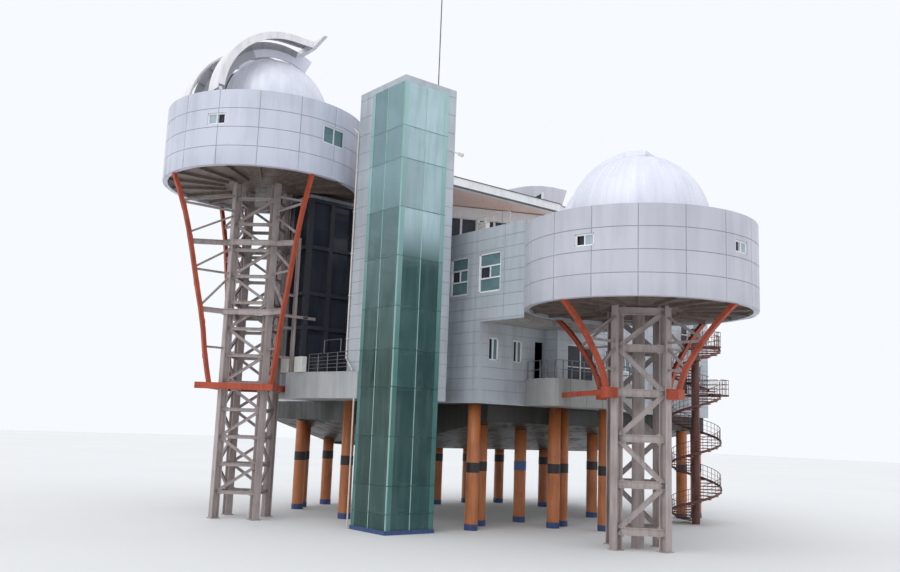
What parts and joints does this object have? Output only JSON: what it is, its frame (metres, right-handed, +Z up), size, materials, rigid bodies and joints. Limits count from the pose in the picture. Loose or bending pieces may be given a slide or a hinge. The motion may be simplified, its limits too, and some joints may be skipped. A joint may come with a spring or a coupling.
{
  "type": "observatory building",
  "caption": "Observatory building on columns, with domed drums on lattice towers, a sliding dome shutter, a glass lift shaft, a raised main block and a spiral stair.",
  "frame": {"origin": "middle of the underside of the lift shaft plinth, at ground level", "axes": "+X along the left face of the lift shaft, +Y along its right face away from the front, +Z up"},
  "size_m": [33.615, 37.445, 31.22],
  "materials": {
    "cladding": "satin cladding panels",
    "concrete": "bare concrete",
    "glass": "green tinted glass",
    "darkGlass": "dark tinted glass",
    "mullion": "pale green paint",
    "steel": "warm grey paint",
    "orange": "orange red paint",
    "plinth": "dark blue coating",
    "dome": "silvery sheet",
    "soffit": "brown grey paint",
    "stair": "red brown paint",
    "salmon": "salmon paint"
  },
  "bodies": {
    "building": {"shaft_plinth": "plinth", "shaft_glass_south": "glass", "shaft_glass_east": "glass", "shaft_glass_rear": "glass", "shaft_frame": "mullion", "shaft_cap": "cladding", "lightning_rod": "steel", "core_west_pier": "cladding", "core_north_wall": "cladding", "core_link": "cladding", "undercroft": "orange", "deck_floor": "concrete", "upper_floor": "concrete", "roof_slab": "concrete", "front_wall": "cladding", "niche_wall": "cladding", "east_wall": "cladding", "stair_corner_wall": "cladding", "north_wall": "cladding", "west_wall": "cladding", "southwest_wall": "cladding", "bridge_north_wall": "cladding", "left_balcony": "cladding", "right_balcony": "cladding", "left_railing": "steel", "right_railing": "steel", "hall_frame": "steel", "hall_glazing": "darkGlass", "hall_roof": "cladding", "terrace_walls": "cladding", "canopy_roof": "salmon", "vault_roof": "cladding", "left_tower": "steel", "left_orange_frame": "orange", "right_tower": "steel", "right_strut_front_left": "orange", "right_strut_front_right": "orange", "right_strut_rear_right": "orange", "right_strut_rear_left": "orange", "left_drum_wall_1": "cladding", "left_drum_wall_2": "cladding", "left_drum_wall_3": "cladding", "left_drum_floor": "soffit", "left_drum_roof": "cladding", "right_drum_wall_1": "cladding", "right_drum_wall_2": "cladding", "right_drum_wall_3": "cladding", "right_drum_floor": "soffit", "right_drum_roof": "cladding", "spiral_stair": "stair"},
    "left_dome": {"left_dome_shell": "dome", "left_slit_frame": "steel"},
    "near_shutter_half": {"near_shutter": "dome"},
    "far_shutter_half": {"far_shutter": "dome"},
    "right_dome": {"right_dome_shell": "dome", "right_dome_shutter": "steel"}
  },
  "joints": [
    {"name": "left_dome_turn", "type": "hinge", "parent": "building", "child": "left_dome", "pos_m": [-9.075, -4.505, 24.52], "axis": [0, 0, 1], "continuous": true},
    {"name": "near_shutter_slide", "type": "slide", "parent": "left_dome", "child": "near_shutter_half", "axis": [-1, 0, 0], "range_m": [0, 1.4975]},
    {"name": "far_shutter_slide", "type": "slide", "parent": "left_dome", "child": "far_shutter_half", "axis": [1, 0, 0], "range_m": [0, 1.4975]},
    {"name": "right_dome_turn", "type": "hinge", "parent": "building", "child": "right_dome", "pos_m": [10.675, 7.675, 16.67], "axis": [0, 0, 1], "continuous": true}
  ],
  "couplings": [
    {"joint": "far_shutter_slide", "follows": "near_shutter_slide", "ratio": 1}
  ]
}
